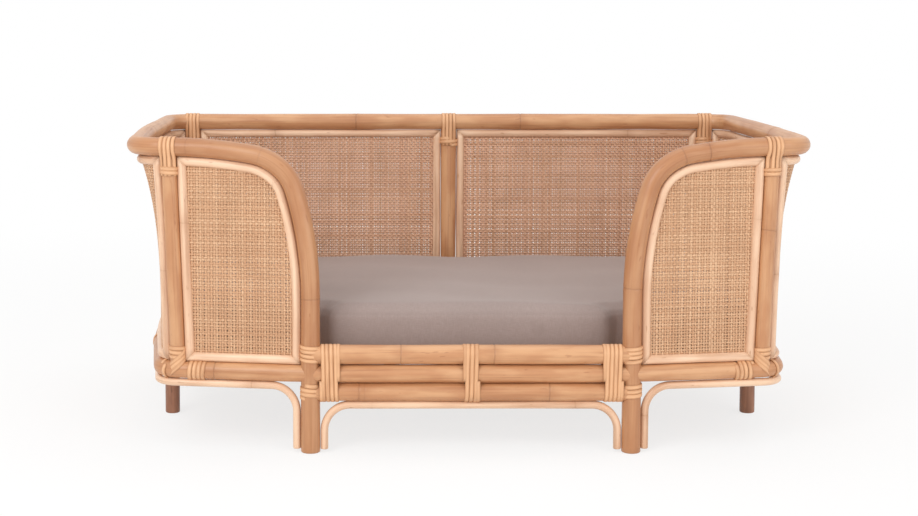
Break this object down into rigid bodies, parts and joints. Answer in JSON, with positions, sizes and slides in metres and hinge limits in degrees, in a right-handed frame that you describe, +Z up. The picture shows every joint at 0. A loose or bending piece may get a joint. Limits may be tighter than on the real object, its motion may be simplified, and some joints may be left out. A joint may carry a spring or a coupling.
{
  "type": "pet daybed basket",
  "caption": "Raised pet basket of bent rattan poles with woven cane panels, an open arched entry, short legs and a loose cushion.",
  "frame": {"origin": "on the floor under the middle of the outline", "axes": "+X along the width, +Y from the entry to the back, +Z up"},
  "size_m": [0.8844, 0.54, 0.395],
  "materials": {
    "rattan_pole": "satin lacquered rattan, with node rings",
    "rattan_thin": "pale satin rattan",
    "cane_webbing": "natural woven cane",
    "rattan_strip": "split rattan strip, satin",
    "deck_wood": "planed, unfinished",
    "bearer_wood": "peeled rattan, satin",
    "screw_steel": "zinc plated",
    "cushion_cloth": "plain taupe grey woven cotton"
  },
  "bodies": {
    "frame": {"front_leg_arch_left": "rattan_pole", "front_leg_arch_right": "rattan_pole", "top_rail_side_left": "rattan_pole", "top_rail_side_right": "rattan_pole", "top_rail_back": "rattan_pole", "front_top_rail": "rattan_pole", "front_middle_rail": "rattan_pole", "front_bottom_rail": "rattan_pole", "base_rail_front_left": "rattan_pole", "base_rail_front_right": "rattan_pole", "base_rail_side_left": "rattan_pole", "base_rail_side_right": "rattan_pole", "base_rail_back": "rattan_pole", "outer_post_left": "rattan_pole", "outer_post_right": "rattan_pole", "rear_corner_post_left": "rattan_pole", "rear_corner_post_right": "rattan_pole", "back_centre_post": "rattan_pole", "side_leg_left": "rattan_pole", "side_leg_right": "rattan_pole", "front_brace": "rattan_thin", "side_brace_left": "rattan_thin", "side_brace_right": "rattan_thin", "back_brace": "rattan_thin", "front_panel_trim_left": "rattan_thin", "front_panel_trim_right": "rattan_thin", "back_panel_trim_left": "rattan_thin", "back_panel_trim_right": "rattan_thin", "side_panel_trim_left": "rattan_thin", "side_panel_trim_right": "rattan_thin", "front_cane_left": "cane_webbing", "front_cane_right": "cane_webbing", "back_cane_left": "cane_webbing", "back_cane_right": "cane_webbing", "side_cane_left": "cane_webbing", "side_cane_right": "cane_webbing", "front_rail_binding_left": "rattan_strip", "front_rail_binding_right": "rattan_strip", "front_rail_binding_centre": "rattan_strip", "leg_wrap_left": "rattan_strip", "leg_wrap_right": "rattan_strip", "post_top_binding_left": "rattan_strip", "post_top_binding_right": "rattan_strip", "post_foot_binding_left": "rattan_strip", "post_foot_binding_right": "rattan_strip", "rear_post_binding_left": "rattan_strip", "rear_post_binding_right": "rattan_strip", "centre_post_top_binding": "rattan_strip", "centre_post_foot_binding": "rattan_strip", "rear_base_bindings": "rattan_strip", "side_leg_bindings": "rattan_strip", "deck_slats": "deck_wood", "splice_dowels": "deck_wood", "deck_bearers": "bearer_wood", "deck_screws": "screw_steel", "frame_screws": "screw_steel"},
    "cushion": {"cushion": "cushion_cloth"}
  },
  "joints": [
    {"name": "cushion_lift", "type": "slide", "parent": "frame", "child": "cushion", "axis": [0, 0, 1], "range_m": [0, 0.3]}
  ]
}
